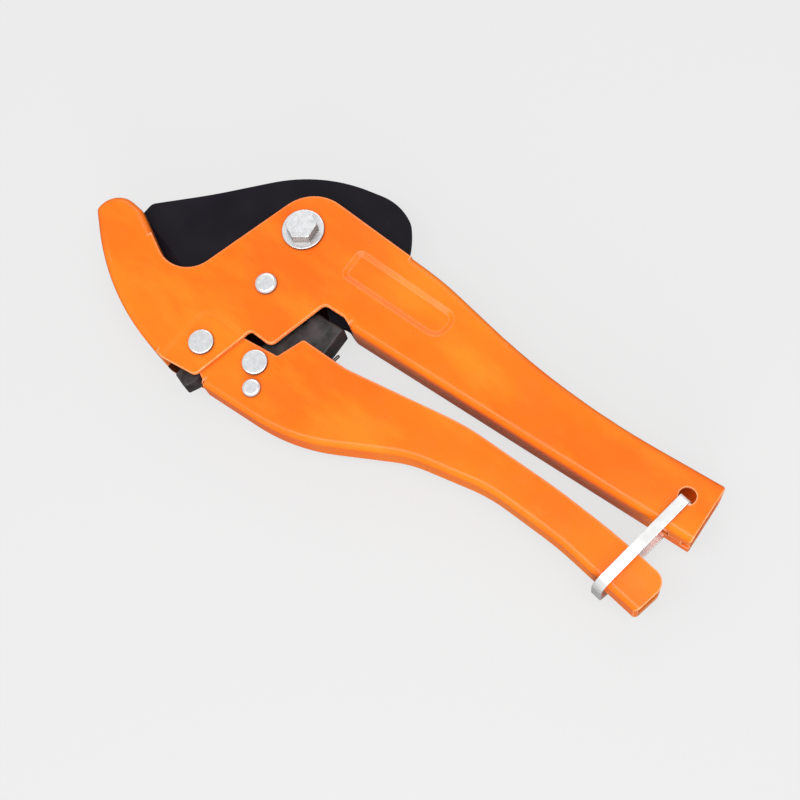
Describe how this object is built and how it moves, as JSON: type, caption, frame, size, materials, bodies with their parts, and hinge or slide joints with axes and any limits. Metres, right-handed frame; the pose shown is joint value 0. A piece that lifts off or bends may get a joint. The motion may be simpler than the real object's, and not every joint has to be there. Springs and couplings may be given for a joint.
{
  "type": "ratchet pipe cutter",
  "caption": "Hand-held ratchet cutter for plastic pipe: curved blade in a hooked jaw, pressed steel handles, pawl lever and a swinging lock bail at the handle ends.",
  "frame": {"origin": "centre of the footprint, on the plane that the lowest point of the pivot bolt touches when the tool lies on its back plate", "axes": "+X along the fixed handle towards its end, +Y towards the blade side, +Z square to the side plates, towards the bolt head"},
  "size_m": [0.2442, 0.1004, 0.0284],
  "materials": {
    "orange_paint": "glossy enamel",
    "zinc_steel": "bright zinc plate",
    "plain_steel": "oiled bare steel",
    "blade_black": "satin black non-stick coating",
    "black_oxide": "black oxide",
    "spring_steel": "drawn wire",
    "bright_steel": "bright nickel plate"
  },
  "bodies": {
    "frame": {"frame_front_shell": "orange_paint", "frame_back_shell": "orange_paint", "blade_pivot_bolt": "zinc_steel", "bolt_washer_front": "zinc_steel", "bolt_washer_back": "zinc_steel", "lock_nut": "zinc_steel", "blade_pivot_bush": "plain_steel", "blade_spacer_front": "plain_steel", "blade_spacer_back": "plain_steel", "blade_stop_rivet": "zinc_steel", "blade_stop_sleeve": "plain_steel", "handle_pivot_rivet": "zinc_steel", "blade_spring": "spring_steel"},
    "blade": {"blade": "blade_black"},
    "moving_handle": {"moving_handle": "orange_paint", "pivot_block": "black_oxide", "pawl_rivet": "zinc_steel", "pawl_sleeve": "plain_steel", "spring_post": "zinc_steel"},
    "pawl": {"pawl_lever": "black_oxide", "pawl_spring": "spring_steel"},
    "lock_bail": {"lock_bail": "bright_steel"}
  },
  "joints": [
    {"name": "blade_pivot", "type": "hinge", "parent": "frame", "child": "blade", "pos_m": [-0.05474, 0.01973, 0.014], "axis": [0, 0, -1], "range_deg": [0, 67], "deforming": ["blade_spring"]},
    {"name": "handle_pivot", "type": "hinge", "parent": "frame", "child": "moving_handle", "pos_m": [-0.05474, -0.03487, 0.014], "axis": [0, 0, 1], "range_deg": [-48, 0]},
    {"name": "pawl_pivot", "type": "hinge", "parent": "moving_handle", "child": "pawl", "pos_m": [-0.03514, -0.02817, 0.014], "axis": [0, 0, 1], "range_deg": [0, 66.3], "deforming": ["pawl_spring"]},
    {"name": "bail_pivot", "type": "hinge", "parent": "frame", "child": "lock_bail", "pos_m": [0.10996, 0.02813, 0.014], "axis": [0, 0, 1], "range_deg": [0, 240]}
  ],
  "couplings": [
    {"joint": "pawl_pivot", "follows": "handle_pivot", "ratio": -1.38}
  ]
}
